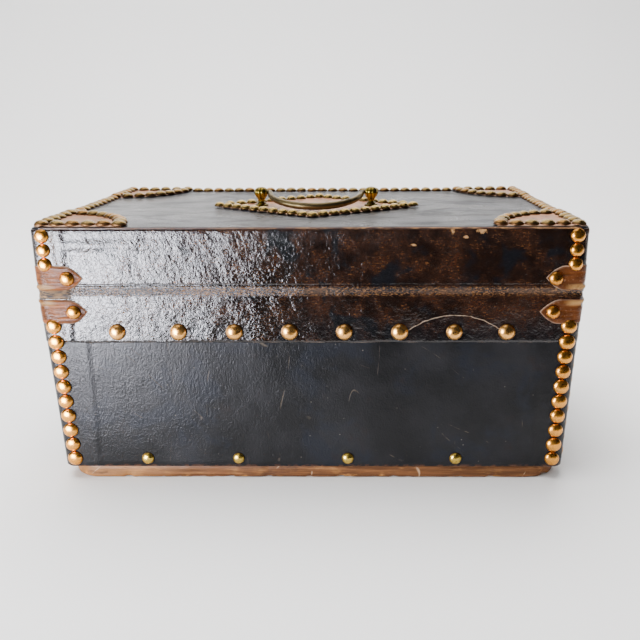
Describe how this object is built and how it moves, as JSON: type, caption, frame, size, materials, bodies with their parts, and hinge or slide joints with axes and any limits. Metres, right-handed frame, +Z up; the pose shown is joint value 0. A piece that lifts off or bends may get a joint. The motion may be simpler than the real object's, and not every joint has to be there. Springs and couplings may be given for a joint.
{
  "type": "leather document box",
  "caption": "Leather covered wooden document box with a leather hinged lid, tan corner patches and tabs, rows of dome nails and a drop bail handle on turned posts.",
  "frame": {"origin": "middle of the box's plan on the surface that it stands on, under the base board", "axes": "+X along the box's length, +Y from the hinge side to the lock side, +Z up"},
  "size_m": [0.3406, 0.2094, 0.1787],
  "materials": {
    "black_leather": "satin, worn",
    "hinge_leather": "glossy, crackled",
    "tan_leather": "satin, worn",
    "pale_wood": "matte",
    "base_wood": "worn varnish",
    "nail_brass": "polished, slightly coppery",
    "post_brass": "polished",
    "bail_brass": "dull, antique",
    "lock_brass": "satin"
  },
  "bodies": {
    "body": {"base_board": "base_wood", "body_left": "pale_wood", "body_right": "pale_wood", "body_back": "pale_wood", "body_front": "pale_wood", "body_leather": "black_leather", "hinge_leather_body": "hinge_leather", "body_tab_back_left": "tan_leather", "body_tab_back_right": "tan_leather", "body_tab_front_left": "tan_leather", "body_tab_front_right": "tan_leather", "body_nails_back_left_on_back": "nail_brass", "body_nails_back_left_on_left": "nail_brass", "body_nails_back_right_on_back": "nail_brass", "body_nails_back_right_on_right": "nail_brass", "body_nails_front_left_on_front": "nail_brass", "body_nails_front_left_on_left": "nail_brass", "body_nails_front_right_on_front": "nail_brass", "body_nails_front_right_on_right": "nail_brass", "hinge_nail_1": "nail_brass", "hinge_nail_2": "nail_brass", "hinge_nail_3": "nail_brass", "hinge_nail_4": "nail_brass", "hinge_nail_5": "nail_brass", "hinge_nail_6": "nail_brass", "hinge_nail_7": "nail_brass", "hinge_nail_8": "nail_brass", "lock_case": "lock_brass", "escutcheon": "lock_brass"},
    "lid": {"lid_board": "pale_wood", "lid_rail_left": "pale_wood", "lid_rail_right": "pale_wood", "lid_rail_back": "pale_wood", "lid_rail_front": "pale_wood", "lid_leather": "black_leather", "hinge_leather_lid": "hinge_leather", "lozenge_patch": "tan_leather", "lozenge_nails": "nail_brass", "lid_edge_nails": "nail_brass", "handle_post_left": "post_brass", "handle_post_right": "post_brass", "link_plate": "lock_brass", "lid_tab_back_left": "tan_leather", "lid_tab_back_right": "tan_leather", "lid_tab_front_left": "tan_leather", "lid_tab_front_right": "tan_leather", "corner_patch_back_left": "tan_leather", "corner_patch_back_right": "tan_leather", "corner_patch_front_left": "tan_leather", "corner_patch_front_right": "tan_leather", "lid_nails_back_left_on_back": "nail_brass", "lid_nails_back_left_on_left": "nail_brass", "lid_nails_back_right_on_back": "nail_brass", "lid_nails_back_right_on_right": "nail_brass", "lid_nails_front_left_on_front": "nail_brass", "lid_nails_front_left_on_left": "nail_brass", "lid_nails_front_right_on_front": "nail_brass", "lid_nails_front_right_on_right": "nail_brass"},
    "bail": {"bail_handle": "bail_brass"},
    "bolt": {"lock_bolt": "lock_brass"}
  },
  "joints": [
    {"name": "lid_hinge", "type": "hinge", "parent": "body", "child": "lid", "pos_m": [0, -0.1006, 0.1242], "axis": [1, 0, 0], "range_deg": [0, 105]},
    {"name": "bail_swing", "type": "hinge", "parent": "lid", "child": "bail", "pos_m": [0, -0.0076, 0.1749], "axis": [-1, 0, 0], "range_deg": [0, 155]},
    {"name": "bolt_slide", "type": "slide", "parent": "body", "child": "bolt", "axis": [1, 0, 0], "range_m": [0, 0.017]}
  ]
}
